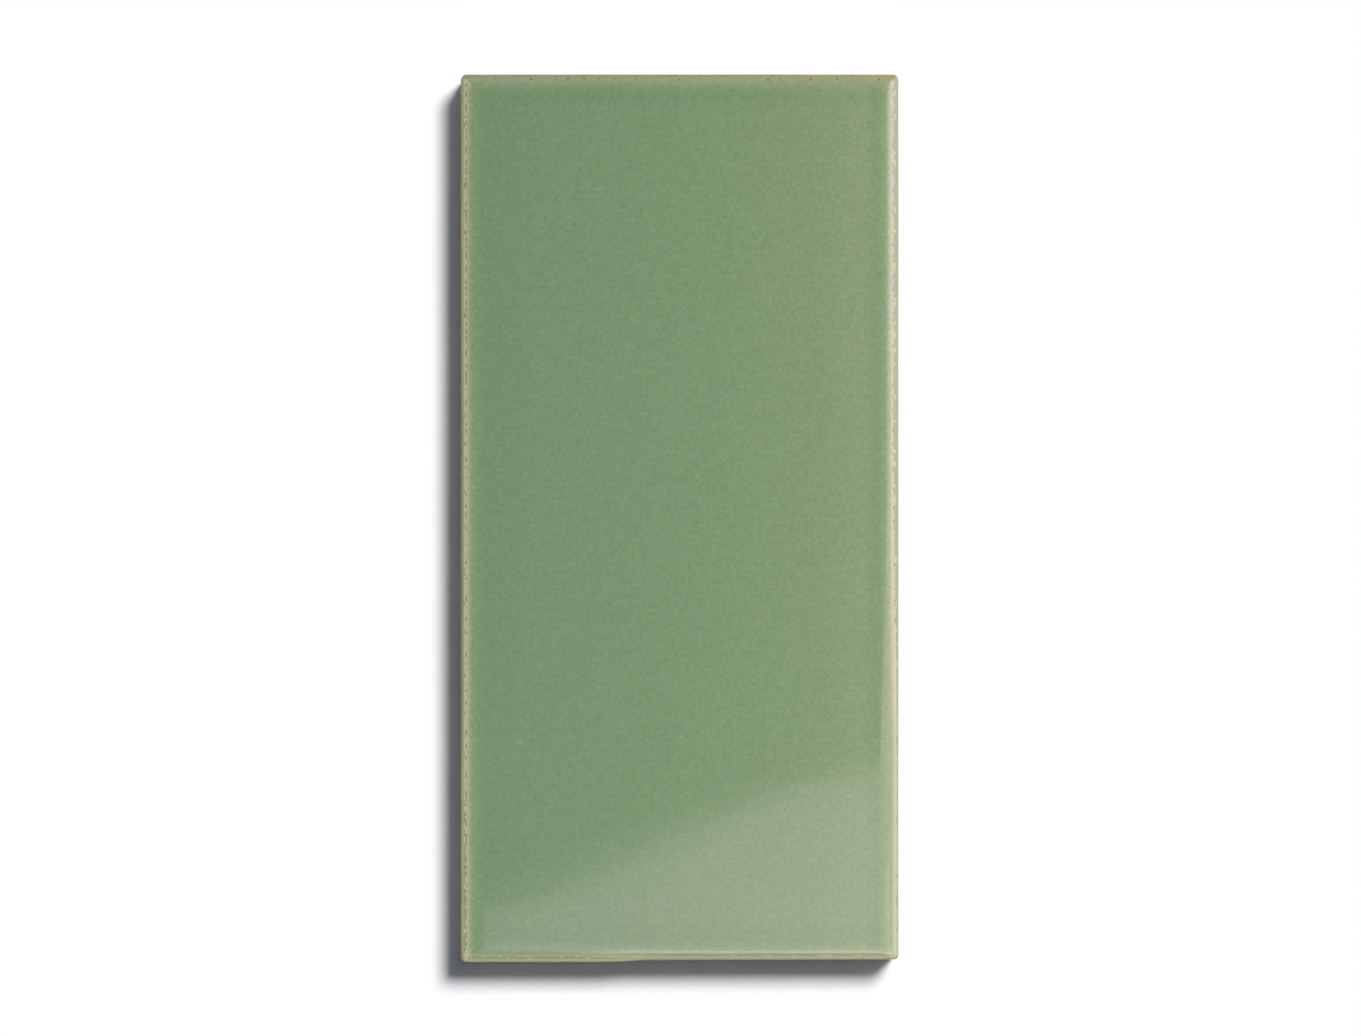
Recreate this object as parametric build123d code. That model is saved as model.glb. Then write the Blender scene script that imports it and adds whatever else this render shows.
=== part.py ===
from build123d import *
import os

# A glazed wall tile of half-tile format, pressed and fired in one piece.
# Frame: the origin is the middle of the back, +Z points out of the glazed face and
# the tile's length runs along Y. All sizes are in millimetres.

# Plan of the tile
length = 152.0
width = 75.0
corner_radius = 0.9

# Section: the face rolls over in a long, low shoulder, the side below it is upright,
# and its foot leans in towards the back
thickness = 8.0
shoulder_run = 3.2
shoulder_drop = 1.2
foot_setback = 0.6
foot_height = 1.6

# Back: shallow pockets that key the adhesive, parted by ribs and framed by a border
pocket_columns = 4
pocket_rows = 8
pocket_depth = 0.6
pocket_draft = 35.0
pocket_radius = 1.5
rib_width = 2.5
back_border = 6.0

QUARTER_TURN = 90


def section(across):
    """The cross-section of a tile this far across, standing on y = 0 and centred on x = 0."""
    half = across / 2
    side_top = thickness - shoulder_drop
    foot_and_side = Polyline(
        (0, 0),
        (half - foot_setback, 0),
        (half, foot_height),
        (half, side_top),
    )
    shoulder = EllipticalCenterArc(
        (half - shoulder_run, side_top),
        shoulder_run,
        shoulder_drop,
        0,
        arc_size=QUARTER_TURN,
    )
    face_and_middle = Polyline((half - shoulder_run, thickness), (0, thickness), (0, 0))
    right_half = make_face(foot_and_side + shoulder + face_and_middle)
    return right_half + mirror(right_half, about=Plane.YZ)


def mitred_slab():
    """The section run both ways across the plan, so that the shoulders meet in mitres."""
    along_length = extrude(Plane.XZ * section(width), amount=length / 2, both=True)
    along_width = extrude(Plane.YZ * section(length), amount=width / 2, both=True)
    return along_length & along_width


def rounded_corner():
    """The outer corner_radius of the section, turned through a quarter about the Z axis."""
    outer_strip = Pos((width - corner_radius) / 2, thickness / 2) * Rectangle(
        corner_radius, thickness
    )
    outer_edge = section(width) & outer_strip
    centred_edge = Pos(corner_radius - width / 2, 0) * outer_edge
    return revolve(Plane.XZ * centred_edge, Axis.Z, QUARTER_TURN)


def with_rounded_corners(slab):
    """Each square corner of the slab gives way to a rounded one."""
    square_corner = Box(
        corner_radius,
        corner_radius,
        thickness,
        align=(Align.MIN, Align.MIN, Align.MIN),
    )
    round_corner = rounded_corner()
    centre_x = width / 2 - corner_radius
    centre_y = length / 2 - corner_radius
    signs = [(1, 1), (-1, 1), (-1, -1), (1, -1)]
    for turns, (sign_x, sign_y) in enumerate(signs):
        place = Pos(sign_x * centre_x, sign_y * centre_y) * Rot(0, 0, turns * QUARTER_TURN)
        slab = slab - place * square_corner + place * round_corner
    return slab


def pocket_side(back_size, count):
    """How long one pocket is along a back of this size that holds count of them in a row."""
    field = back_size - 2 * back_border
    return (field - (count - 1) * rib_width) / count


def back_pockets():
    """The adhesive pockets, as solids to cut out of the back."""
    across = pocket_side(width - 2 * foot_setback, pocket_columns)
    along = pocket_side(length - 2 * foot_setback, pocket_rows)
    places = GridLocations(
        across + rib_width, along + rib_width, pocket_columns, pocket_rows
    )
    mouth = RectangleRounded(across, along, pocket_radius)
    pocket = extrude(mouth, amount=pocket_depth, taper=pocket_draft)
    return [place * pocket for place in places]


def wall_tile():
    """The whole tile."""
    return with_rounded_corners(mitred_slab()) - back_pockets()


os.makedirs("parts", exist_ok=True)
export_step(wall_tile(), "parts/wall_tile.step")
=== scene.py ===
import math

import bpy
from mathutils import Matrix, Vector, noise


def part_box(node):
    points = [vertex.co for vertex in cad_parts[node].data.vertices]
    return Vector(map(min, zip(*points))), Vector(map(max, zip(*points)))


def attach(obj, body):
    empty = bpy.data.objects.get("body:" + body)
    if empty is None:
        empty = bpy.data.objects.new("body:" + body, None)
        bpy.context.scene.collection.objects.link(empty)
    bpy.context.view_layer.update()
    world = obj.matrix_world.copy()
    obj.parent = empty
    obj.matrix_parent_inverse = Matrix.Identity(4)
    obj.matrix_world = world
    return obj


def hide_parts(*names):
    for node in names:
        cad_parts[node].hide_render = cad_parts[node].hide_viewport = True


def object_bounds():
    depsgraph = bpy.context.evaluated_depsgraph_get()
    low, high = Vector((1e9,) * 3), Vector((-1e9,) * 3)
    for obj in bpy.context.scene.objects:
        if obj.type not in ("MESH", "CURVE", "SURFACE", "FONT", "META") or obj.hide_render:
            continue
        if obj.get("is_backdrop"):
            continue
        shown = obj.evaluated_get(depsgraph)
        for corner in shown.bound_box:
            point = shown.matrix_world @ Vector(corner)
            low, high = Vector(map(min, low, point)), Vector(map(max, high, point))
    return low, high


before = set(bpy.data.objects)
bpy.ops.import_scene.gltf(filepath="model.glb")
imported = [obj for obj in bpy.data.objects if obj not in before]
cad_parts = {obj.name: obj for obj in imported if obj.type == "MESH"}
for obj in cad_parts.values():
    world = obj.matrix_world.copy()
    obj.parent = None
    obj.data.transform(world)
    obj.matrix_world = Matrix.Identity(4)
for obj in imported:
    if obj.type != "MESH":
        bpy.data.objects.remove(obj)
cad_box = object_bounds()

# A glazed wall tile, lying on a pale floor and seen from straight above.
# Lengths are in millimetres, in the CAD frame, until they reach Blender, which counts in metres.

MM = 0.001
QUARTER_TURN = math.pi / 2
EIGHTH_TURN = math.pi / 4

# The tile
tile_low, tile_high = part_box("wall_tile")
WIDTH = (tile_high.x - tile_low.x) / MM
LENGTH = (tile_high.y - tile_low.y) / MM
THICKNESS = (tile_high.z - tile_low.z) / MM
CORNER_RADIUS = 1.0
SHOULDER_RUN = 3.2
SHOULDER_DROP = 1.2
SIDE_TOP = THICKNESS - SHOULDER_DROP
FOOT_SETBACK = 0.6
FOOT_HEIGHT = 1.6
POCKET_COLUMNS = 4
POCKET_ROWS = 8
POCKET_DEPTH = 0.6
POCKET_DRAFT = math.radians(35)
POCKET_RADIUS = 1.5
RIB_WIDTH = 2.5
BACK_BORDER = 6.0

# How the fired tile departs from a drawn one
ROLL_WIDTH = 4.6  # where the face starts to fall away towards its shoulder
ROLL_DEPTH = 0.06
CORNER_SOFTENING = 0.12  # how much rounder the shoulder's corners get, for each millimetre in
GLAZE_THICKNESS = 0.09
LEAST_INSET = 0.015  # keeps the wavering outline inside the drawn one
SKEW_REACH = 1.6  # how far in from the bottom side its skew is felt

# The photograph's frame, and the tile in it
FRAME_WIDE = 1361
FRAME_HIGH = 1036
PX_PER_MM = 5.85
TILE_CENTRE_X = 679.7
TILE_CENTRE_Y = 518.2


class Spacing:
    """How many points go round a rounded rectangle: in each half corner, and along each kind of side."""

    def __init__(self, zone, corner_steps, across_steps, along_steps):
        self.zone = zone
        self.corner_steps = corner_steps
        self.side_steps = (across_steps, along_steps)
        self.counts = tuple(2 * corner_steps + steps for steps in self.side_steps)


pocket_spacing = Spacing(zone=2.0, corner_steps=4, across_steps=12, along_steps=14)
CORNER_STEPS = 6
tile_spacing = Spacing(
    zone=1.6,
    corner_steps=CORNER_STEPS,
    across_steps=POCKET_COLUMNS * pocket_spacing.counts[0] - 2 * CORNER_STEPS,
    along_steps=POCKET_ROWS * pocket_spacing.counts[1] - 2 * CORNER_STEPS,
)


def smooth(value, low, high):
    """0 below low, 1 above high and a smooth step between them."""
    share = min(max((value - low) / (high - low), 0.0), 1.0)
    return share * share * (3 - 2 * share)


def ripple(x, y, size, seed):
    """Smooth noise from about -1 to 1, with bumps this size."""
    return noise.noise(Vector((x / size, y / size, seed)))


# Points round a rounded rectangle

def corner_points(radius, spacing):
    """Half a corner, from its middle to the end of its zone, as (distance along the side from the
    square corner, distance in from the side, lean of the outward normal off the side's own)."""
    arc = radius * EIGHTH_TURN
    reach = arc + spacing.zone - radius
    for step in range(spacing.corner_steps + 1):
        gone = reach * step / spacing.corner_steps
        if gone < arc:
            lean = EIGHTH_TURN - gone / radius
            yield radius * (1 - math.sin(lean)), radius * (1 - math.cos(lean)), lean
        else:
            yield radius + gone - arc, 0.0, 0.0


def side_points(half, radius, spacing, direction):
    """One side, from the middle of one corner to just before the middle of the next."""
    corner = list(corner_points(radius, spacing))
    steps = spacing.side_steps[direction]
    straight = 2 * (half - spacing.zone)
    side = corner[:-1]
    side += [(spacing.zone + straight * step / steps, 0.0, 0.0) for step in range(steps)]
    side += [(2 * half - along, inward, -lean) for along, inward, lean in reversed(corner[1:])]
    return side


def loop_points(half_x, half_y, radius, spacing):
    """Anticlockwise points from the lower left corner, each with its outward normal."""
    loop = []
    for quarter in range(4):
        direction = quarter % 2
        half, reach = ((half_x, half_y), (half_y, half_x))[direction]
        for along, inward, lean in side_points(half, radius, spacing, direction):
            x, y = along - half, inward - reach
            normal_x, normal_y = -math.sin(lean), -math.cos(lean)
            for _ in range(quarter):
                x, y = -y, x
                normal_x, normal_y = -normal_y, normal_x
            loop.append((x, y, normal_x, normal_y))
    return loop


def grid_lines(half, spacing, direction):
    """Where the grid inside a square-cornered loop has its lines."""
    return [along - half for along, _, _ in side_points(half, 0.0, spacing, direction)] + [half]


def walk(count_x, count_y):
    """The places on a grid's edge, in the order of loop_points."""
    yield from ((i, 0) for i in range(count_x))
    yield from ((count_x, j) for j in range(count_y))
    yield from ((i, count_y) for i in range(count_x, 0, -1))
    yield from ((0, j) for j in range(count_y, 0, -1))


# The section, from the face over the shoulder and down the side to the back

def bend(before, corner, after, size, steps):
    """Points that round a corner of the section off, starting and ending this far from it."""
    before, corner, after = Vector(before), Vector(corner), Vector(after)
    start = corner + (before - corner).normalized() * size
    end = corner + (after - corner).normalized() * size
    for step in range(steps + 1):
        share = step / steps
        yield tuple(start.lerp(corner, share).lerp(corner.lerp(end, share), share))


def face_rings():
    """(inset, height, corner radius) where the face is still flat or nearly so."""
    rings = 5
    last_radius = CORNER_RADIUS + CORNER_SOFTENING * SHOULDER_RUN
    for step in range(1, rings):
        share = step / rings
        yield ROLL_WIDTH + (SHOULDER_RUN - ROLL_WIDTH) * share, THICKNESS, last_radius * share


def shoulder_rings():
    steps = 26
    for step in range(steps + 1):
        turn = QUARTER_TURN * step / steps
        inset = SHOULDER_RUN * (1 - math.sin(turn))
        height = SIDE_TOP + SHOULDER_DROP * math.cos(turn)
        yield inset, height, CORNER_RADIUS + CORNER_SOFTENING * inset


def side_rings():
    """The upright side, the foot that leans in below it, and the back's outer edge."""
    side_steps = 15
    knee_size = 0.4
    edge_size = 0.25
    top, knee = (0.0, SIDE_TOP), (0.0, FOOT_HEIGHT)
    edge, back = (FOOT_SETBACK, 0.0), (BACK_BORDER, 0.0)
    for step in range(1, side_steps):
        yield 0.0, SIDE_TOP + (FOOT_HEIGHT + knee_size - SIDE_TOP) * step / side_steps, CORNER_RADIUS
    section = list(bend(top, knee, edge, knee_size, steps=3))
    section.append((FOOT_SETBACK / 2, FOOT_HEIGHT / 2))
    section += bend(knee, edge, back, edge_size, steps=4)
    for inset, height in section:
        yield inset, height, CORNER_RADIUS - inset


def border_rings():
    """The flat border of the back, up to the pockets."""
    rings = 4
    first_step = 0.5
    start = FOOT_SETBACK + first_step
    for step in range(rings):
        inset = start + (field_inset() - start) * step / rings
        yield inset, 0.0, 0.0


def pocket_size():
    """How long a pocket is, along X and along Y."""
    sizes = []
    for whole, count in ((WIDTH, POCKET_COLUMNS), (LENGTH, POCKET_ROWS)):
        field = whole - 2 * (FOOT_SETBACK + BACK_BORDER)
        sizes.append((field - (count - 1) * RIB_WIDTH) / count)
    return sizes


def field_inset():
    """How far in from the outline the pockets' cells start: a cell is a pocket and half a rib round it."""
    return FOOT_SETBACK + BACK_BORDER - RIB_WIDTH / 2


# How the fired shape departs from the drawn one

def bottom_skew(x):
    """The bottom side isn't quite square: it steps up a little and climbs towards the right."""
    step_start, step_end, step_height = -11.1, -5.9, 0.31
    climb = 0.003
    return step_height * smooth(x, step_start, step_end) + climb * max(0.0, x - step_start)


def waver(x, y):
    """How far the outline stands in from the drawn one."""
    broad_depth, fine_depth = 0.03, 0.01
    broad = 1 + ripple(x, y, size=27, seed=3.1)
    fine = 1 + ripple(x, y, size=5, seed=8.4)
    return LEAST_INSET + broad_depth * broad + fine_depth * fine


def glaze_line(x, y):
    """How high on the side the glaze ends, as a distance up the section from the side's top."""
    mean, sag_depth, run_length = -2.1, 0.75, 1.7
    sag = ripple(x, y, size=16, seed=5.5) + 0.45 * ripple(x, y, size=5, seed=1.7)
    run = smooth(ripple(x, y, size=3.4, seed=6.2), 0.3, 0.75)
    return mean + sag_depth * sag - run_length * run


def face_wave(x, y):
    """How far the face lies below a true plane."""
    broad_depth, fine_depth = 0.011, 0.0014
    broad = 1 + ripple(x, y, size=44, seed=2.3)
    fine = 1 + ripple(x, y, size=17, seed=9.6)
    return broad_depth * broad + fine_depth * fine


def settle(x, y, height):
    """A drawn point's place on the fired tile."""
    low_end = max(0.0, -y - LENGTH / 2 + SKEW_REACH) / SKEW_REACH
    lowered = height * (1 - face_wave(x, y) / THICKNESS)
    return x, y + bottom_skew(x) * low_end, lowered


class Shell:
    """The points and faces of the tile. levels holds, for each point, the distance up the section from
    the side's top, and that above the glaze line."""

    def __init__(self):
        self.points = []
        self.levels = []
        self.faces = []

    def point(self, x, y, height, level):
        self.points.append(settle(x, y, height))
        self.levels.append(level)
        return len(self.points) - 1

    def strip(self, before, after):
        """Faces between two loops of points."""
        count = len(before)
        for k in range(count):
            following = (k + 1) % count
            self.faces.append((before[k], after[k], after[following], before[following]))


FACE_LEVEL = (9.0, 12.0)  # up the section and above the glaze line, on the flat face
BACK_LEVEL = (-9.0, -7.0)


def add_face(shell):
    """The middle of the face, as a grid. Returns the loop of points on its edge."""
    xs = grid_lines(WIDTH / 2 - ROLL_WIDTH, tile_spacing, 0)
    ys = grid_lines(LENGTH / 2 - ROLL_WIDTH, tile_spacing, 1)
    grid = [[shell.point(x, y, THICKNESS, FACE_LEVEL) for y in ys] for x in xs]
    for i in range(len(xs) - 1):
        for j in range(len(ys) - 1):
            shell.faces.append((grid[i][j], grid[i + 1][j], grid[i + 1][j + 1], grid[i][j + 1]))
    return [grid[i][j] for i, j in walk(*tile_spacing.counts)]


def side_offset(x, y, up, above):
    """How far in from the drawn section a point on the rim or side is, at this place on the outline."""
    glaze_end, nick_depth = 0.12, 0.07
    bare = 1 - smooth(above, -glaze_end, glaze_end)
    low = 1 - smooth(up, -SIDE_TOP - 0.6, -SIDE_TOP + 0.3)
    nicks = nick_depth * (1 + ripple(x, y, size=1.9, seed=4.4)) * low
    return waver(x, y) + GLAZE_THICKNESS * bare + nicks


def distances_up(upper, lower):
    """How far up the section from the side's top each ring is: those down to the side's top, then those
    below it."""
    ups = [0.0]
    for here, following in zip(reversed(upper[:-1]), reversed(upper[1:])):
        ups.insert(0, ups[0] + math.dist(here[:2], following[:2]))
    for here, following in zip([upper[-1], *lower], lower):
        ups.append(ups[-1] - math.dist(here[:2], following[:2]))
    return ups


def add_rim(shell, inner_loop):
    """The shoulder, the side and the back's border. Returns the last loop of points."""
    outline = loop_points(WIDTH / 2, LENGTH / 2, CORNER_RADIUS, tile_spacing)
    upper = [*face_rings(), *shoulder_rings()]
    lower = [*side_rings(), *border_rings()]
    before = inner_loop
    for (inset, height, radius), up in zip(upper + lower, distances_up(upper, lower)):
        on_face = up > 0
        flat_edge = ROLL_WIDTH if on_face else field_inset()
        flat_start = SHOULDER_RUN if on_face else FOOT_SETBACK
        hold = 1 - smooth(inset, flat_start, flat_edge)
        roll = ROLL_DEPTH * max(0.0, 1 - inset / ROLL_WIDTH) ** 2 if up >= 0 else 0.0
        loop = loop_points(WIDTH / 2 - inset, LENGTH / 2 - inset, max(radius, 0.0), tile_spacing)
        after = []
        for (x, y, normal_x, normal_y), (outline_x, outline_y, _, _) in zip(loop, outline):
            above = up - glaze_line(outline_x, outline_y)
            offset = side_offset(outline_x, outline_y, up, above) * hold
            place = x - normal_x * offset, y - normal_y * offset, height - roll
            after.append(shell.point(*place, (up, above)))
        shell.strip(before, after)
        before = after
    return before


def pocket_rings():
    """(how far in from the pocket's mouth, height) from its lip to its floor."""
    lip_size, fillet_size = 0.12, 0.2
    draft = POCKET_DEPTH * math.tan(POCKET_DRAFT)
    ribs, mouth = (-RIB_WIDTH / 2, 0.0), (0.0, 0.0)
    floor_edge, floor = (draft, POCKET_DEPTH), (2 * POCKET_RADIUS, POCKET_DEPTH)
    yield from bend(ribs, mouth, floor_edge, lip_size, steps=1)
    yield from bend(mouth, floor_edge, floor, fillet_size, steps=2)


def add_pocket(shell, edge, centre):
    """One pocket inside the loop of points on its cell's edge."""
    size_x, size_y = pocket_size()
    before = edge
    for inward, height in pocket_rings():
        loop = loop_points(size_x / 2 - inward, size_y / 2 - inward, POCKET_RADIUS - inward, pocket_spacing)
        after = [shell.point(centre[0] + x, centre[1] + y, height, BACK_LEVEL) for x, y, _, _ in loop]
        shell.strip(before, after)
        before = after
    shell.faces.append(tuple(reversed(before)))


def add_back(shell, outer_loop):
    """The ribs and pockets of the back, inside the border's last loop."""
    count_x, count_y = pocket_spacing.counts
    size_x, size_y = pocket_size()
    half_x, half_y = (size_x + RIB_WIDTH) / 2, (size_y + RIB_WIDTH) / 2
    centres_x = [(2 * i + 1 - POCKET_COLUMNS) * half_x for i in range(POCKET_COLUMNS)]
    centres_y = [(2 * j + 1 - POCKET_ROWS) * half_y for j in range(POCKET_ROWS)]
    lines_x = [c + x for c in centres_x for x in grid_lines(half_x, pocket_spacing, 0)[:-1]]
    lines_y = [c + y for c in centres_y for y in grid_lines(half_y, pocket_spacing, 1)[:-1]]
    lines_x.append(centres_x[-1] + half_x)
    lines_y.append(centres_y[-1] + half_y)
    made = {}

    def lattice_point(i, j):
        if (i, j) not in made:
            made[i, j] = shell.point(lines_x[i], lines_y[j], 0.0, BACK_LEVEL)
        return made[i, j]

    field_edge = [lattice_point(i, j) for i, j in walk(len(lines_x) - 1, len(lines_y) - 1)]
    shell.strip(outer_loop, field_edge)
    for column, x in enumerate(centres_x):
        for row, y in enumerate(centres_y):
            cell = [
                lattice_point(column * count_x + i, row * count_y + j)
                for i, j in walk(count_x, count_y)
            ]
            add_pocket(shell, cell, (x, y))


def make_tile():
    """The fired tile as one closed mesh."""
    shell = Shell()
    face_edge = add_face(shell)
    border_edge = add_rim(shell, face_edge)
    add_back(shell, border_edge)
    mesh = bpy.data.meshes.new("glazed_tile")
    mesh.from_pydata([tuple(c * MM for c in point) for point in shell.points], [], shell.faces)
    rim = mesh.attributes.new("rim", "FLOAT_VECTOR", "POINT")
    rim.data.foreach_set("vector", [number for level in shell.levels for number in (*level, 0.0)])
    mesh.shade_smooth()
    tile = bpy.data.objects.new("glazed_tile", mesh)
    bpy.context.scene.collection.objects.link(tile)
    return tile


# Materials

class Nodes:
    """Short calls for the nodes of one material or world."""

    def __init__(self, owner):
        owner.use_nodes = True
        self.tree = owner.node_tree
        self.tree.nodes.clear()

    def add(self, kind, inputs=None, **settings):
        node = self.tree.nodes.new("ShaderNode" + kind)
        for name, value in settings.items():
            setattr(node, name, value)
        for name, value in (inputs or {}).items():
            self.feed(node.inputs[name], value)
        return node

    def feed(self, socket, value):
        if isinstance(value, bpy.types.NodeSocket):
            self.tree.links.new(value, socket)
        else:
            socket.default_value = value

    def math(self, operation, first, second=0.0):
        return self.add("Math", {0: first, 1: second}, operation=operation).outputs[0]

    def plus(self, first, second):
        return self.math("ADD", first, second)

    def minus(self, first, second):
        return self.math("SUBTRACT", first, second)

    def times(self, first, second):
        return self.math("MULTIPLY", first, second)

    def step(self, value, low, high, start=0.0, end=1.0):
        """A smooth step from start to end as value goes from low to high."""
        inputs = {"Value": value, "From Min": low, "From Max": high, "To Min": start, "To Max": end}
        return self.add("MapRange", inputs, interpolation_type="SMOOTHSTEP").outputs["Result"]

    def noise(self, place, size, detail=2.0, seed=0.0):
        """Noise about 0, mostly from -1 to 1, with features this size in the units of place."""
        moved = self.sum(place, (seed, seed, seed))
        inputs = {"Vector": moved, "Scale": 1 / size, "Detail": detail}
        found = self.add("TexNoise", inputs).outputs["Fac"]
        return self.times(self.minus(found, 0.5), 4.0)

    def blend(self, factor, first, second):
        """A number between two others."""
        return self.add("Mix", {0: factor, 2: first, 3: second}, data_type="FLOAT").outputs[0]

    def mix(self, factor, first, second):
        """A colour between two others."""
        return self.add("Mix", {0: factor, 6: first, 7: second}, data_type="RGBA").outputs[2]

    def multiply(self, first, second):
        """The product of two colours."""
        return self.add("VectorMath", {0: first, 1: second}, operation="MULTIPLY").outputs[0]

    def scale(self, vector, factor):
        """A vector or colour times a number."""
        return self.add("VectorMath", {0: vector, "Scale": factor}, operation="SCALE").outputs[0]

    def sum(self, first, *others):
        """The sum of vectors or colours."""
        for vector in others:
            first = self.add("VectorMath", {0: first, 1: vector}, operation="ADD").outputs[0]
        return first

    def combine(self, x, y, z=0.0):
        return self.add("CombineXYZ", {0: x, 1: y, 2: z}).outputs[0]

    def separate(self, vector):
        return self.add("SeparateXYZ", {0: vector}).outputs

    def ramp(self, value, stops, top):
        """Colours from stops of (value, colour), for values from 0 to top."""
        node = self.add("ValToRGB", {0: self.math("DIVIDE", value, top)})
        elements = node.color_ramp.elements
        while len(elements) < len(stops):
            elements.new(1.0)
        for element, (place, colour) in zip(elements, stops):
            element.position = place / top
            element.color = opaque(*colour)
        return node.outputs["Color"]


GLAZE = (0.181, 0.276, 0.1485)
SHADED_GLAZE_AT_LEFT = (0.176, 0.266, 0.1445)  # painted shade: the face a little darker close to the left side
PAINTED_LIGHT_TO_RIGHT = (0.375, 0.215, 0.235)  # painted light: how much lighter and warmer the face gets, as a share, up to the right side, where the light is stronger
GLAZE_TO_BOTTOM = 0.095  # how much lighter the glaze gets, as a share, down to the bottom side
SIDE_GLAZE = (0.225, 0.290, 0.165)  # on the upright side
# Faint tints and painted shade on the face, as shares of its colour
UPPER_CAST = (0.020, 0.015, 0.0)
STRIPE_CAST = (0.064, 0.030, 0.028)
PAINTED_SHADE_RIGHT_LINE = (-0.026, -0.022, -0.022)
# Painted shade: a dimmer line inside the right shoulder, where the face starts to roll and mirrors darker
# surroundings
TOP_LINE_CAST = (-0.046, -0.026, -0.030)
BOTTOM_LINE_CAST = (-0.036, -0.030, -0.042)
# The glaze's colour up the section, from where it is thin at the side's top to the face
RIM_COLOURS = [
    (0.85, (0.530, 0.510, 0.318)),
    (1.31, (0.455, 0.474, 0.294)),
    (1.49, (0.408, 0.437, 0.268)),
    (1.67, (0.357, 0.393, 0.236)),
    (1.86, (0.303, 0.356, 0.207)),
    (2.20, (0.240, 0.316, 0.173)),
    (2.70, (0.210, 0.300, 0.161)),
    (3.20, (0.194, 0.287, 0.155)),
    (4.10, (0.177, 0.273, 0.148)),
]
# The top side's rim is olive and darker: partly its own colour, where the glaze lies thicker, and partly
# painted shade
TOP_RIM_COLOURS_AND_SHADE = [
    (0.60, (0.272, 0.268, 0.138)),
    (0.78, (0.268, 0.274, 0.133)),
    (0.95, (0.288, 0.299, 0.161)),
    (1.31, (0.270, 0.321, 0.178)),
    (1.70, (0.249, 0.313, 0.173)),
    (2.20, (0.226, 0.298, 0.162)),
    (2.70, (0.201, 0.286, 0.157)),
    (4.10, (0.178, 0.273, 0.148)),
]
RIM_TOP = 6.0  # how far up the section these two reach
CLAY = (0.52, 0.44, 0.32)
CLAY_DARK = (0.40, 0.32, 0.22)
CLAY_PIT = (0.20, 0.15, 0.10)
SPECK = (0.42, 0.47, 0.34)
SPECKS = [(-35.2, 5.3), (-27.2, -38.3), (0.3, -37.3)]  # pale pinholes on the face
# Where the rim's looks change: along X on the bottom side, and along Y down the right side
BOTTOM_CHANGE = (-12, 2)
RIGHT_CHANGE = (15, -45)
RIGHT_LOWER_END = (-25, -42)


def opaque(red, green, blue):
    return red, green, blue, 1.0


class Rim:
    """Where a point is on the rim: how far along its side and up the section, and on which side."""

    def __init__(self, nodes, place, up):
        self.nodes, self.up = nodes, up
        self.x, self.y, _ = nodes.separate(place)
        past_x = nodes.minus(nodes.math("ABSOLUTE", self.x), WIDTH / 2 * MM)
        past_y = nodes.minus(nodes.math("ABSOLUTE", self.y), LENGTH / 2 * MM)
        past_mitre = nodes.minus(past_x, past_y)
        self.on_long_side = nodes.step(past_mitre, -0.3 * MM, 0.3 * MM)
        self.off_corner = nodes.step(nodes.math("ABSOLUTE", past_mitre), 0.2 * MM, 1.0 * MM)
        self.on_right = nodes.math("GREATER_THAN", self.x, 0.0)
        self.on_top = nodes.math("GREATER_THAN", self.y, 0.0)
        along = nodes.blend(nodes.math("GREATER_THAN", past_mitre, 0.0), self.x, self.y)
        start = self.pick(0.0, 200.0, 400.0, 600.0)  # far apart, so that no two sides share their noise
        self.along = nodes.plus(nodes.math("DIVIDE", along, MM), start)

    def pick(self, left, right, bottom, top):
        """The number or colour for this point's side."""
        join = self.nodes.mix if isinstance(top, tuple) else self.nodes.blend
        along = join(self.on_right, left, right)
        across = join(self.on_top, bottom, top)
        return join(self.on_long_side, across, along)

    def to_right(self, start, end, first=0.0, last=1.0):
        """A step along X, between two places in millimetres."""
        return self.nodes.step(self.x, start * MM, end * MM, first, last)

    def to_bottom(self, start, end, first=0.0, last=1.0):
        """A step down the length, between two places in millimetres."""
        return self.nodes.step(self.y, end * MM, start * MM, last, first)

    def along_noise(self, size, seed):
        """Noise along the outline, with stretches about this long."""
        along = self.nodes.combine(self.nodes.math("DIVIDE", self.along, size), 0.0)
        return self.nodes.noise(along, size=1.0, detail=1.0, seed=seed)

    def dashes(self, size, threshold, seed):
        """1 along some stretches of the outline and 0 between them."""
        past = self.nodes.minus(self.along_noise(size, seed), threshold)
        return self.nodes.step(past, -0.05, 0.05)

    def band(self, centre, half):
        """1 within half of centre, up the section. It stops short of the corners."""
        away = self.nodes.math("ABSOLUTE", self.nodes.minus(self.up, centre))
        away = self.nodes.minus(away, half)
        return self.nodes.times(self.nodes.step(away, -0.03, 0.03, 1.0, 0.0), self.off_corner)


def glaze_colour(nodes, place, up):
    """The glaze: its colour at the rim and on the face, its mottling, marks and specks."""
    rim = Rim(nodes, place, up)
    across = nodes.math("DIVIDE", nodes.plus(rim.x, WIDTH / 2 * MM), WIDTH * MM)
    down = nodes.math("DIVIDE", nodes.minus(LENGTH / 2 * MM, rim.y), LENGTH * MM)
    # Painted shade: the face is a little darker close to the left side.
    face = nodes.mix(nodes.step(across, 0.04, 0.2), opaque(*SHADED_GLAZE_AT_LEFT), opaque(*GLAZE))
    colour = nodes.mix(nodes.step(up, 3.6, RIM_TOP), rim_colour(nodes, place, rim), face)
    # Painted light: the face gets lighter and warmer towards the right side.
    gain = nodes.sum((1.0, 1.0, 1.0), nodes.scale(PAINTED_LIGHT_TO_RIGHT, nodes.times(across, across)))
    colour = nodes.multiply(nodes.multiply(colour, gain), face_tints_and_shade(nodes, rim, across))
    lower = nodes.plus(1.0, nodes.times(down, GLAZE_TO_BOTTOM))
    return with_specks(nodes, rim, nodes.multiply(colour, mottling(nodes, place, up, lower)))


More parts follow.
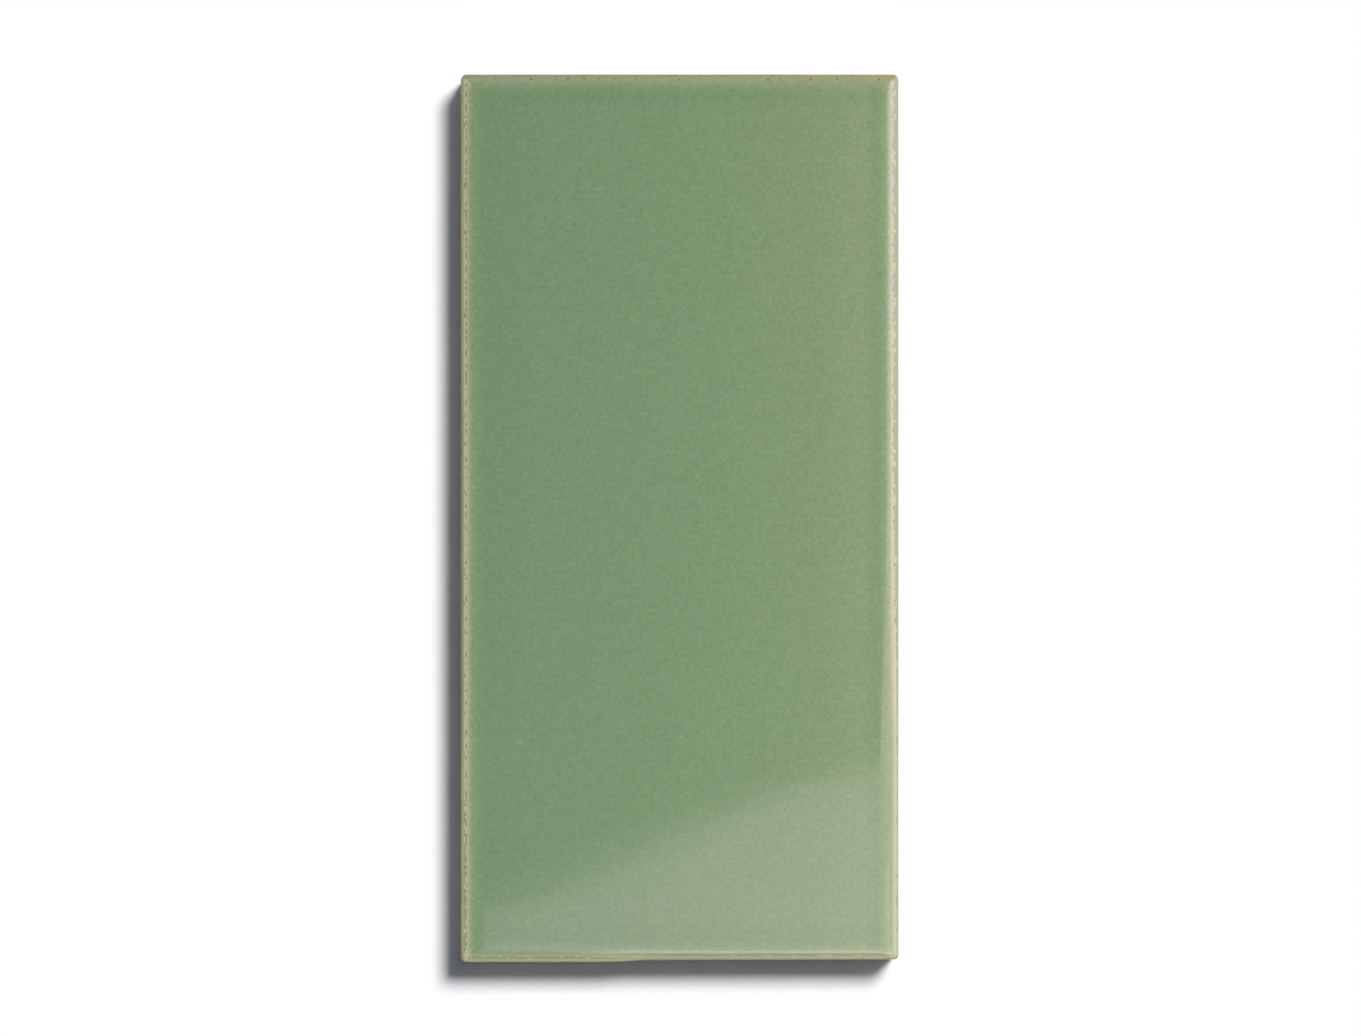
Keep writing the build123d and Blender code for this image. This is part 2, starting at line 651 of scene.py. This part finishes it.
def mottling(nodes, place, up, light):
    """The glaze's fine mottling in lightness and hue, as a gain. light is the gain without it."""
    calm = nodes.step(up, 1.2, 2.6, 0.4, 1.0)  # the rim is mottled less than the face

    def mottle(size, detail, seed, amount):
        found = nodes.noise(place, size * MM, detail, seed)
        return nodes.times(found, nodes.times(calm, amount))

    for size, detail, amount in ((0.6, 2.0, 0.104), (1.1, 0.0, 0.030), (14.0, 2.0, 0.009)):
        light = nodes.plus(light, mottle(size, detail, seed=4.0 + size, amount=amount))
    warm = mottle(size=0.8, detail=3.0, seed=6.0, amount=0.068)
    green = mottle(size=0.6, detail=3.0, seed=7.0, amount=0.055)
    red = nodes.plus(light, warm)
    blue = nodes.minus(light, warm)
    return nodes.combine(red, nodes.plus(light, green), blue)


def with_specks(nodes, rim, colour):
    """The pale pinholes on the face."""
    core, edge, strength = 0.1 * MM, 0.42 * MM, 0.4
    for speck_x, speck_y in SPECKS:
        gap = nodes.add(
            "VectorMath",
            {0: nodes.combine(rim.x, rim.y), 1: (speck_x * MM, speck_y * MM, 0)},
            operation="DISTANCE",
        ).outputs["Value"]
        colour = nodes.mix(nodes.step(gap, core, edge, strength, 0.0), colour, opaque(*SPECK))
    return colour


def face_tints_and_shade(nodes, rim, across):
    """Faint differences over the face, as a gain: lighter towards the top, a warmer stripe along the
    right and dimmer lines just inside the shoulders. The line inside the right shoulder is painted shade,
    where the face starts to roll and mirrors darker surroundings."""

    # Each takes four places: where a cast starts, is full, starts to end and is gone
    def across_x(start, full, end, gone):
        return nodes.times(rim.to_right(start, full), rim.to_right(end, gone, 1.0, 0.0))

    def down_y(start, full, end, gone):
        return nodes.times(rim.to_bottom(start, full), rim.to_bottom(end, gone, 1.0, 0.0))

    near_right = nodes.plus(0.5, nodes.times(across, 0.8))
    upper = nodes.times(rim.to_bottom(60, 12, 1.0, 0.0), near_right)
    stripe = nodes.times(across_x(23.5, 30, 31, 33), rim.to_bottom(-38, -44, 1.0, 0.55))
    tints_and_shade = nodes.sum(
        nodes.scale(UPPER_CAST, upper),
        nodes.scale(STRIPE_CAST, stripe),
        # painted shade inside the right shoulder
        nodes.scale(PAINTED_SHADE_RIGHT_LINE, across_x(32, 33, 34.3, 35.3)),
        nodes.scale(TOP_LINE_CAST, down_y(75.2, 74.2, 72.2, 70.0)),
        nodes.scale(BOTTOM_LINE_CAST, down_y(-68.8, -70.4, -71.8, -72.8)),
    )
    on_face = nodes.step(rim.up, 1.9, 3.2)
    return nodes.sum((1.0, 1.0, 1.0), nodes.scale(tints_and_shade, on_face))


def rim_colour(nodes, place, rim):
    """Thin glaze over the shoulder: clay-coloured outside, pale further in, with rows of dark marks.
    It lies thicker again on the upright side below."""
    colour = dark_marks(nodes, rim, clay_band(nodes, rim, thin_glaze(nodes, place, rim)))
    return nodes.mix(nodes.step(rim.up, -0.7, -0.05), opaque(*SIDE_GLAZE), colour)


def thin_glaze(nodes, place, rim):
    """The glaze where it thins out towards the side, and pales."""
    jitter = nodes.times(nodes.noise(place, size=0.7 * MM, seed=2.0), 0.08)
    left_reach = nodes.plus(rim.to_bottom(34, 8, 0.08, 0.21), rim.to_bottom(-25, -45, 0.0, 0.03))
    reach = rim.pick(left_reach, 0.0, -0.06, 0.0)
    level = nodes.minus(nodes.plus(rim.up, jitter), reach)
    pale = nodes.ramp(level, RIM_COLOURS, RIM_TOP)
    # The top rim's colours hold painted shade as well as its olive glaze.
    olive = nodes.ramp(level, TOP_RIM_COLOURS_AND_SHADE, RIM_TOP)
    tone = rim.pick(
        opaque(1.0, 1.0, 1.0),
        # right: greyer, partly its own colour and partly painted reflection of pale light mirrored at the
        # steep edge
        nodes.mix(rim.to_bottom(*RIGHT_LOWER_END), opaque(0.91, 0.98, 1.02), opaque(0.785, 0.905, 0.92)),
        nodes.mix(rim.to_right(*BOTTOM_CHANGE), opaque(0.98, 1.03, 1.0), opaque(0.92, 1.01, 0.925)),
        opaque(1.0, 1.0, 1.0),
    )
    outer = nodes.step(rim.up, 1.3, rim.to_bottom(*RIGHT_LOWER_END, 1.8, 2.4), 1.0, 0.0)
    pale = nodes.mix(outer, pale, nodes.multiply(pale, tone))
    dimmer = nodes.times(nodes.step(rim.up, 1.5, 2.7, 1.0, 0.0), rim.to_right(-5, 30))
    olive = nodes.mix(dimmer, olive, nodes.multiply(olive, (0.905, 0.940, 0.935)))
    on_top = nodes.times(rim.on_top, nodes.minus(1.0, rim.on_long_side))
    return nodes.mix(on_top, pale, olive)


def clay_band(nodes, rim, colour):
    """The clay shows through along the outside, up to an edge that wanders in steps."""
    edge = rim.pick(
        0.80,
        rim.to_bottom(*RIGHT_CHANGE, 1.24, 0.62),
        rim.to_right(*BOTTOM_CHANGE, 0.84, 0.68),
        0.80,
    )
    dent = rim.pick(0.0, rim.to_bottom(*RIGHT_CHANGE, 0.46, 0.11), 0.10, 0.0)
    inward = nodes.times(rim.dashes(2.0, 0.18, 51.0), dent)
    bulge = rim.pick(0.05, rim.to_bottom(*RIGHT_CHANGE, 0.15, 0.05), 0.0, 0.0)
    outward = nodes.times(rim.dashes(0.9, 0.30, 53.0), bulge)
    edge = nodes.plus(nodes.minus(edge, inward), outward)
    softness = rim.pick(0.15, 0.04, 0.05, 0.12)
    outer = nodes.step(nodes.math("DIVIDE", nodes.minus(edge, rim.up), softness), -1.0, 1.0)
    middle = nodes.times(rim.to_bottom(34, 12), rim.to_bottom(-31, -42, 1.0, 0.0))
    shade = nodes.times(rim.along_noise(9.0, 71.0), rim.pick(0.14, 0.02, 0.05, 0.03))
    shade = nodes.plus(shade, 1.0)
    clay = rim.pick(
        nodes.mix(middle, opaque(0.415, 0.370, 0.197), opaque(0.312, 0.280, 0.155)),
        # right: greyer, partly painted reflection of pale light mirrored at the steep edge
        nodes.mix(rim.to_bottom(34, 10), opaque(0.347, 0.375, 0.264), opaque(0.327, 0.358, 0.247)),
        nodes.mix(rim.to_right(*BOTTOM_CHANGE), opaque(0.545, 0.505, 0.283), opaque(0.362, 0.422, 0.208)),
        # top: darker, partly painted shade
        opaque(0.272, 0.264, 0.138),
    )
    return nodes.mix(outer, colour, nodes.multiply(clay, nodes.combine(shade, shade, shade)))


def dark_marks(nodes, rim, colour):
    """Rows of dark marks where the thin glaze crawled: small dashes and rings on the left, dots at the
    top and broken lines along the right and the bottom."""
    return brown_stretches(nodes, rim, outer_row(nodes, rim, main_row(nodes, rim, colour)))


def main_row(nodes, rim, colour):
    """The row that runs all round the tile."""
    to_right = rim.to_right(*BOTTOM_CHANGE)
    wander = nodes.times(rim.along_noise(4.0, 55.0), 0.12)
    away = nodes.math("ABSOLUTE", nodes.plus(rim.x, 9 * MM))
    row_centre = rim.pick(
        1.31,
        rim.to_bottom(10, -40, 1.38, 0.62),
        nodes.plus(nodes.blend(to_right, 1.34, 1.46), wander),
        1.30,
    )
    row_half = rim.pick(0.11, 0.10, nodes.blend(to_right, 0.09, 0.20), 0.15)
    long_dashes = rim.to_bottom(-9.9, -10.1, 1.1, 2.3)
    row_size = rim.pick(1.2, long_dashes, nodes.blend(to_right, 1.0, 2.6), 0.9)
    row_threshold = rim.pick(
        nodes.plus(rim.to_bottom(30, 5, 0.0, 0.2), rim.to_bottom(-35, -45, 0.0, -0.2)),
        rim.to_bottom(0, -30, 0.15, 0.35),
        nodes.step(away, 3 * MM, 8 * MM, 0.4, -0.2),
        0.45,
    )
    row = nodes.times(rim.band(row_centre, row_half), rim.dashes(row_size, row_threshold, 57.0))
    dark = rim.pick(
        opaque(0.205, 0.218, 0.130),
        opaque(0.255, 0.250, 0.160),
        nodes.mix(to_right, opaque(0.240, 0.275, 0.160), opaque(0.298, 0.323, 0.230)),
        opaque(0.130, 0.175, 0.085),
    )
    return nodes.mix(nodes.times(row, 0.95), colour, dark)


def outer_row(nodes, rim, colour):
    """A row outside the main one, on the left and the left part of the bottom. Short bars between the
    two close some of its dashes to rings."""
    threshold = rim.pick(
        nodes.plus(rim.to_bottom(30, 5, 0.5, 0.35), rim.to_bottom(-45, -55, 0.0, -0.6)),
        0.0,
        -0.45,
        0.0,
    )
    dashes = rim.dashes(rim.pick(2.0, 1.0, 1.4, 1.0), threshold, 61.0)
    on_bottom = nodes.minus(rim.to_right(-14, -6, 1.0, 0.0), rim.on_top)
    dashes = nodes.times(dashes, rim.pick(1.0, 0.0, nodes.math("MAXIMUM", on_bottom, 0.0), 0.0))
    row = rim.band(rim.pick(1.0, 1.0, 1.03, 1.0), rim.pick(0.07, 0.1, 0.14, 0.1))
    bars = nodes.times(rim.band(1.15, 0.1), rim.dashes(0.5, 0.25, 67.0))
    marks = nodes.times(nodes.math("MAXIMUM", row, bars), dashes)
    dark = rim.pick(
        opaque(0.225, 0.228, 0.138), opaque(*GLAZE), opaque(0.305, 0.315, 0.200), opaque(*GLAZE)
    )
    return nodes.mix(nodes.times(marks, 0.9), colour, dark)


def brown_stretches(nodes, rim, colour):
    """Brown stretches right on the edge, at the top and at the right end of the bottom."""
    stretches = rim.dashes(3.0, 0.15, 63.0)
    brown = nodes.times(rim.band(rim.pick(0.5, 0.5, 0.78, 0.45), 0.10), stretches)
    present = rim.pick(0.0, 0.0, rim.to_right(18, 26), rim.to_right(-25, 5, 0.3, 0.9))
    brown_clay = nodes.mix(rim.on_top, opaque(0.340, 0.320, 0.205), opaque(0.190, 0.172, 0.100))
    return nodes.mix(nodes.times(brown, present), colour, brown_clay)


def clay_colour(nodes, place):
    """Bare fired clay, with a fine grain and darker and paler smears."""
    grain = nodes.noise(place, size=0.35 * MM, detail=3.0, seed=21.0)
    smear = nodes.noise(place, size=9 * MM, detail=3.0, seed=23.0)
    share = nodes.plus(nodes.times(grain, 0.25), nodes.times(smear, 0.35))
    share = nodes.plus(share, 0.35)
    colour = nodes.mix(share, opaque(*CLAY), opaque(*CLAY_DARK))
    pits = nodes.noise(place, size=0.6 * MM, detail=1.0, seed=27.0)
    return nodes.mix(nodes.step(pits, 0.9, 1.2, 0.0, 0.7), colour, opaque(*CLAY_PIT))


def tile_material():
    """Green gloss glaze over the face and the upper side, and bare clay below it and on the back."""
    material = bpy.data.materials.new("green_glaze_on_clay")
    nodes = Nodes(material)
    place = nodes.add("TexCoord").outputs["Object"]
    rim = nodes.add("Attribute", attribute_name="rim").outputs["Vector"]
    up, above, _ = nodes.separate(rim)

    fringe = nodes.times(nodes.noise(place, size=0.8 * MM, detail=3.0, seed=31.0), 0.12)
    above = nodes.plus(above, fringe)
    glazed = nodes.step(above, -0.06, 0.06)
    thin = nodes.step(above, 0.0, 0.7, 0.7, 0.0)
    glaze = nodes.mix(thin, glaze_colour(nodes, place, up), opaque(*CLAY_DARK))
    colour = nodes.mix(glazed, clay_colour(nodes, place), glaze)

    dull = nodes.plus(0.82, nodes.times(nodes.noise(place, size=2 * MM, seed=33.0), 0.05))
    gloss = nodes.plus(0.05, nodes.times(nodes.noise(place, size=11 * MM, seed=35.0), 0.006))
    roughness = nodes.step(glazed, 0.0, 1.0, dull, gloss)

    peel = nodes.times(nodes.noise(place, size=4 * MM, seed=41.0), 0.0006)
    grain = nodes.times(nodes.noise(place, size=0.5 * MM, detail=4.0, seed=43.0), 0.012)
    height = nodes.step(glazed, 0.0, 1.0, grain, peel)
    bump = nodes.add("Bump", {"Height": height, "Distance": MM, "Strength": 1.0}).outputs["Normal"]

    surface = {"Base Color": colour, "Roughness": roughness, "IOR": 1.5, "Normal": bump}
    shader = nodes.add("BsdfPrincipled", surface).outputs["BSDF"]
    nodes.add("OutputMaterial", {"Surface": shader})
    return material


def floor_material():
    """White where the key light reaches it, to the camera and in what mirrors it, and pale grey where it
    only scatters light. From below it is clear, so that the tile's back can be looked at."""
    material = bpy.data.materials.new("pale_floor")
    nodes = Nodes(material)
    path = nodes.add("LightPath").outputs
    pale = opaque(0.8, 0.8, 0.8)
    white = opaque(FLOOR_GAIN, FLOOR_GAIN, FLOOR_GAIN)
    seen = nodes.math("MAXIMUM", path["Is Camera Ray"], path["Is Glossy Ray"])
    seen = nodes.math("MAXIMUM", seen, path["Is Transmission Ray"])
    diffuse = nodes.add("BsdfDiffuse", {"Color": nodes.mix(seen, pale, white)}).outputs["BSDF"]
    clear = nodes.add("BsdfTransparent").outputs["BSDF"]
    below = nodes.add("NewGeometry").outputs["Backfacing"]
    shader = nodes.add("MixShader", {0: below, 1: diffuse, 2: clear}).outputs["Shader"]
    nodes.add("OutputMaterial", {"Surface": shader})
    return material


def glow_material():
    """A softbox's glow, in the colour and strength of its glow attribute. Only mirrored rays look for
    it."""
    material = bpy.data.materials.new("softbox_glow")
    nodes = Nodes(material)
    glow = nodes.add("Attribute", attribute_name="glow").outputs["Vector"]
    light = nodes.add("Emission", {"Color": glow, "Strength": 1.0}).outputs["Emission"]
    nodes.add("OutputMaterial", {"Surface": light})
    material.cycles.emission_sampling = "NONE"
    return material


# The stage and its light. The tile reflects what it would in a studio with a dim ceiling, a large
# softbox past its lower side, a strip on its right and a glowing wall beyond that.

KEY_AZIMUTH = math.radians(50.3)  # anticlockwise from +X
KEY_ELEVATION = math.radians(51.4)
KEY_ANGLE = math.radians(20)
SPILL_ANGLE = math.radians(60)
FILL_ELEVATION = math.radians(90)
FILL_ANGLE = math.radians(60)
# What each light gives a level surface. They add up to 1, which shows a colour as it is written.
KEY_LEVEL = 0.463
SPILL_LEVEL = 0.05
FILL_LEVEL = 0.45
AMBIENT_LEVEL = 0.037
AMBIENT_COLOUR = (0.865, 1.045, 1.355)
FLOOR_WHITE = 1.002  # a little past white, so that no noise shows on it
FLOOR_GAIN = FLOOR_WHITE / (KEY_LEVEL + SPILL_LEVEL + AMBIENT_LEVEL)
CAMERA_HEIGHT = 1200.0


def make_floor():
    """A large pale floor, left open under the tile so that light reaches the back. The opening can't be
    seen from straight above."""
    reach, drop = 4000.0, 0.05
    lap = 0.2  # how far in from the drawn foot's outer edge the floor ends
    hole_x, hole_y = (size / 2 - FOOT_SETBACK - lap for size in (WIDTH, LENGTH))
    hole_low = -hole_y + bottom_skew(WIDTH / 2)
    inner = [(-hole_x, hole_low), (hole_x, hole_low), (hole_x, hole_y), (-hole_x, hole_y)]
    outer = [(-reach, -reach), (reach, -reach), (reach, reach), (-reach, reach)]
    points = [(x * MM, y * MM, -drop * MM) for x, y in inner + outer]
    faces = [(k, k + 4, (k + 1) % 4 + 4, (k + 1) % 4) for k in range(4)]
    mesh = bpy.data.meshes.new("floor")
    mesh.from_pydata(points, [], faces)
    mesh.materials.append(floor_material())
    floor = bpy.data.objects.new("floor", mesh)
    bpy.context.scene.collection.objects.link(floor)
    floor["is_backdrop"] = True


def softbox(name, place, glow, columns, rows, material):
    """A glowing sheet that shows only in reflections. place turns two shares from 0 to 1 into a point, and
    glow gives the light there, as red, green and blue."""
    shares = [(i / columns, j / rows) for i in range(columns + 1) for j in range(rows + 1)]
    faces = []
    for i in range(columns):
        for j in range(rows):
            first = i * (rows + 1) + j
            faces.append((first, first + rows + 1, first + rows + 2, first + 1))
    points = [place(u, v) for u, v in shares]
    mesh = bpy.data.meshes.new(name)
    mesh.from_pydata([tuple(c * MM for c in point) for point in points], [], faces)
    attribute = mesh.attributes.new("glow", "FLOAT_VECTOR", "POINT")
    attribute.data.foreach_set("vector", [level for point in points for level in glow(point)])
    mesh.materials.append(material)
    sheet = bpy.data.objects.new(name, mesh)
    bpy.context.scene.collection.objects.link(sheet)
    sheet.visible_camera = False
    sheet.visible_diffuse = False
    sheet.visible_transmission = False
    sheet.visible_shadow = False
    sheet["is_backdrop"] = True


def overhead_edge(x):
    """Where the overhead softbox starts, in Y, for each X: a slack edge that the face mirrors."""
    middle, rise, half_length, sag, climb = -105.1, 22.5, 77.0, 4.7, 0.22
    held = min(max(x, -half_length), half_length)
    edge = middle + rise * math.sin(QUARTER_TURN * held / half_length) + climb * max(0.0, x - half_length)
    return edge - sag * smooth(-x, 0.0, half_length)


def overhead_place(u, v):
    left, right, depth = -115.0, 800.0, 860.0
    x = left + (right - left) * u * u
    return x, overhead_edge(x) - depth * v * v, CAMERA_HEIGHT


def overhead_glow(point):
    """A warm white with a brighter bar at its far end, and a cooler patch at the right."""
    x, y, _ = point
    barred = smooth(x, -52.0, -12.0)  # left of this the sheet has no bar and ends sooner
    # The sheet fades at its slack edge, at its far end and at both sides
    shape = smooth(overhead_edge(x) - y, 0.0, 3.5 + 3.0 * smooth(x, -60.0, 60.0))
    shape *= 1 - (1 - barred) * (0.35 * smooth(-y, 420.0, 520.0) + 0.65 * smooth(-y, 620.0, 780.0))
    shape *= 1 - smooth(-y, 830.0, 930.0)
    shape *= smooth(x, -98.0, -55.0) * (1 - smooth(x, 560.0, 800.0))
    # It brightens a little to the right and away from its edge
    level = 2.1 + 0.10 * smooth(x, -20.0, 35.0) - 0.05 * smooth(x, 45.0, 70.0)
    level *= shape * (1 + 0.08 * smooth(-y, 100.0, 140.0)) * (1 + 0.25 * smooth(-y, 250.0, 450.0))
    bar = smooth(-y, 500.0, 620.0) * barred
    patch = smooth(x, 340.0, 450.0)
    level *= 1 + 0.74 * bar + 0.25 * patch
    return level * 1.03, level * 0.82, level * (0.89 + 0.06 * bar + 0.10 * patch)


def strip_place(u, v):
    left, right, low, high = 340.0, 1500.0, -120.0, 900.0
    return left + (right - left) * u, low + (high - low) * v * v, CAMERA_HEIGHT


def strip_glow(point):
    x, y, _ = point
    level = 3.7 * smooth(x, 340.0, 740.0) * (1 - 0.72 * smooth(x, 1080.0, 1300.0))
    level *= smooth(y, -88.0, -2.0) * (1 - smooth(y, 500.0, 900.0))
    return 0.95 * level, 0.94 * level, 1.18 * level


def wall_place(u, v):
    wall_x, half_y, height = 1500.0, 1400.0, 1180.0
    return wall_x, half_y * (2 * u - 1), height * v


def wall_glow(point):
    _, y, _ = point
    level = 1.1 * (1 - smooth(abs(y), 900.0, 1400.0))
    return 0.97 * level, 0.97 * level, 1.04 * level


def add_sun(name, azimuth, elevation, angle, level):
    """A lamp so far off that it lights everything alike. It shows in no reflection."""
    light = bpy.data.lights.new(name, "SUN")
    light.energy = level * math.pi / math.sin(elevation)
    light.angle = angle
    lamp = bpy.data.objects.new(name, light)
    away = Vector(
        (
            math.cos(elevation) * math.cos(azimuth),
            math.cos(elevation) * math.sin(azimuth),
            math.sin(elevation),
        )
    )
    lamp.rotation_euler = away.to_track_quat("Z", "Y").to_euler()
    lamp.visible_glossy = False
    bpy.context.scene.collection.objects.link(lamp)
    return lamp


def light_tile(tile):
    """The key light that throws the shadow, its softer spill, and a fill that lights the tile alone. The
    fill stands opposite the key and is raised until it shines straight down."""
    add_sun("key_light", KEY_AZIMUTH, KEY_ELEVATION, KEY_ANGLE, KEY_LEVEL)
    add_sun("key_spill", KEY_AZIMUTH, KEY_ELEVATION, SPILL_ANGLE, SPILL_LEVEL)
    fill = add_sun("fill_light", KEY_AZIMUTH + math.pi, FILL_ELEVATION, FILL_ANGLE, FILL_LEVEL)
    receivers = bpy.data.collections.new("lit_by_fill")
    receivers.objects.link(tile)
    fill.light_linking.receiver_collection = receivers


def make_world():
    """Plain ambient light, white to the camera. Reflections see it pale at the horizon and dim above."""
    world = bpy.data.worlds.new("studio")
    bpy.context.scene.world = world
    nodes = Nodes(world)
    path = nodes.add("LightPath").outputs
    direction = nodes.add("TexCoord").outputs["Generated"]
    _, _, rise = nodes.separate(direction)
    horizon_glow, ceiling_glow, ground_level = 0.5, 0.15, 0.9
    mirrored = nodes.step(rise, 0.25, 0.8, horizon_glow, ceiling_glow)
    ambient = nodes.step(rise, -0.1, 0.0, ground_level, AMBIENT_LEVEL)
    level = nodes.blend(path["Is Glossy Ray"], ambient, mirrored)
    seen = nodes.math("MAXIMUM", path["Is Camera Ray"], path["Is Transmission Ray"])
    level = nodes.blend(seen, level, 1.0)
    colour = nodes.mix(path["Is Diffuse Ray"], opaque(1.0, 1.0, 1.0), opaque(*AMBIENT_COLOUR))
    background = nodes.add("Background", {"Color": colour, "Strength": level})
    nodes.add("OutputWorld", {"Surface": background.outputs["Background"]})


def make_camera():
    """Straight above, framed as the photograph is."""
    data = bpy.data.cameras.new("camera")
    camera = bpy.data.objects.new("camera", data)
    bpy.context.scene.collection.objects.link(camera)
    data.sensor_width = 36.0
    shown = FRAME_WIDE / PX_PER_MM
    data.lens = data.sensor_width * (CAMERA_HEIGHT - THICKNESS) / shown
    data.clip_end = 10.0
    x = (FRAME_WIDE / 2 - TILE_CENTRE_X) / PX_PER_MM
    y = (TILE_CENTRE_Y - FRAME_HIGH / 2) / PX_PER_MM
    camera.location = (x * MM, y * MM, CAMERA_HEIGHT * MM)
    bpy.context.scene.camera = camera


make_camera()
tile = make_tile()
tile.data.materials.append(tile_material())
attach(tile, "root")
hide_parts("wall_tile")

make_floor()
glow = glow_material()
softbox("softbox_overhead", overhead_place, overhead_glow, columns=60, rows=40, material=glow)
softbox("softbox_strip", strip_place, strip_glow, columns=40, rows=30, material=glow)
softbox("softbox_wall", wall_place, wall_glow, columns=24, rows=24, material=glow)
light_tile(tile)
make_world()
bpy.context.scene.view_settings.view_transform = "Standard"

boxes = {"cad": cad_box, "visual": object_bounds()}
{name: [list(corner) for corner in box] for name, box in boxes.items()}
